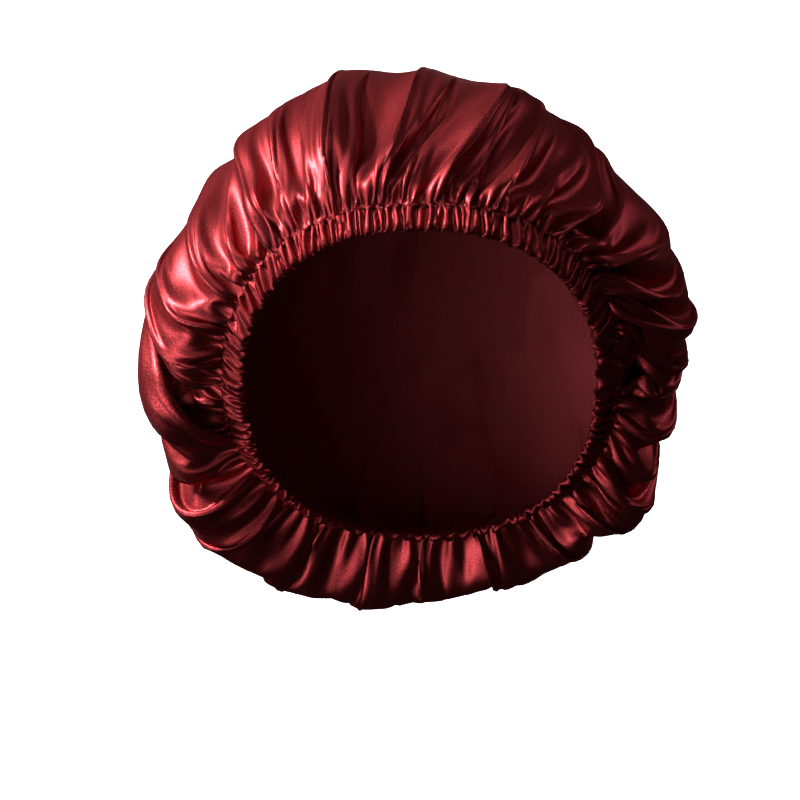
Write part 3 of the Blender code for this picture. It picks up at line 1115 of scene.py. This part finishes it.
def aim(obj, target):
    """Turns an object's -Z axis to a point."""
    direction = Vector(target) - obj.location
    obj.rotation_euler = direction.to_track_quat("-Z", "Y").to_euler()


def add_light(name, place, target, width, height, power, colour):
    """A soft rectangular light."""
    data = bpy.data.lights.new(name, "AREA")
    data.shape = "RECTANGLE"
    data.size, data.size_y = width, height
    data.energy = power
    data.color = colour
    light = bpy.data.objects.new(name, data)
    light.location = place
    bpy.context.scene.collection.objects.link(light)
    aim(light, target)


def studio_floor(colours):
    """A round, pale floor that bends up into a wall all round."""
    profile = [(FLOOR_RADIUS, 0.0)]
    for step in range(1, BEND_STEPS + 1):
        turn = step / BEND_STEPS * math.pi / 2
        out = FLOOR_RADIUS + FLOOR_BEND * math.sin(turn)
        profile.append((out, FLOOR_BEND * (1 - math.cos(turn))))
    profile.append((FLOOR_RADIUS + FLOOR_BEND, WALL_TOP))
    turn = np.arange(FLOOR_SIDES) / FLOOR_SIDES * math.tau
    rings = []
    for radius, height in profile:
        level = np.full_like(turn, FLOOR_LEVEL + height)
        rings.append(np.stack([radius * np.cos(turn), radius * np.sin(turn), level], axis=1))
    numbers = np.arange(len(rings) * FLOOR_SIDES).reshape(-1, FLOOR_SIDES).tolist()
    faces = [tuple(numbers[0])]
    for lower, upper in zip(numbers, numbers[1:]):
        faces += ring_faces(upper, lower)
    material = Recipe("pale_floor").finish(
        Base_Color=(*colours.floor, 1.0),
        Roughness=0.9,
        Emission_Color=(1, 1, 1, 1),
        Emission_Strength=FLOOR_GLOW,
    )
    return add_piece("studio_floor", np.concatenate(rings), faces, [material])


def add_camera():
    """The camera, level with the bonnet and straight in front of it."""
    data = bpy.data.cameras.new("camera")
    data.lens = CAMERA_LENS
    data.sensor_width = SENSOR_WIDTH
    camera = bpy.data.objects.new("camera", data)
    camera.location = CAMERA_PLACE
    camera.rotation_euler = (math.pi / 2, 0, 0)
    bpy.context.scene.collection.objects.link(camera)
    return camera


class SetStage(bpy.types.Operator):
    """Sets the plain floor, the lights and the camera"""

    bl_idname = "bonnet.set_stage"
    bl_label = "Set the stage"

    def execute(self, context):
        scene = context.scene
        floor = studio_floor(scene.bonnet_colours)
        floor.visible_diffuse = False
        floor.visible_glossy = False
        for light in LIGHTS:
            add_light(*light)
        world = bpy.data.worlds.new("studio")
        world.use_nodes = True
        background = world.node_tree.nodes["Background"].inputs
        background["Color"].default_value = (1, 1, 1, 1)
        background["Strength"].default_value = WORLD_STRENGTH
        scene.world = world
        scene.view_settings.view_transform = "Standard"
        scene.camera = add_camera()
        return {"FINISHED"}


class BonnetPanel(bpy.types.Panel):
    """The bonnet's sizes, colours and steps"""

    bl_idname = "VIEW3D_PT_bonnet"
    bl_label = "Sleep bonnet"
    bl_space_type = "VIEW_3D"
    bl_region_type = "UI"
    bl_category = "Bonnet"

    def draw(self, context):
        for group in (context.scene.bonnet_sizes, context.scene.bonnet_colours):
            for name in group.__annotations__:
                self.layout.prop(group, name)
        for step in STEPS:
            self.layout.operator(step.bl_idname)


STEPS = (RucheBand, SewCrown, SetStage)
CLASSES = (BonnetSizes, BonnetColours, *STEPS, BonnetPanel)


def register():
    for cls in CLASSES:
        bpy.utils.register_class(cls)
    bpy.types.Scene.bonnet_sizes = bpy.props.PointerProperty(type=BonnetSizes)
    bpy.types.Scene.bonnet_colours = bpy.props.PointerProperty(type=BonnetColours)


def unregister():
    del bpy.types.Scene.bonnet_colours
    del bpy.types.Scene.bonnet_sizes
    for cls in reversed(CLASSES):
        bpy.utils.unregister_class(cls)


def main():
    register()
    bpy.ops.bonnet.ruche_band()
    bpy.ops.bonnet.sew_crown()
    bpy.ops.bonnet.set_stage()


if __name__ == "__main__":
    main()
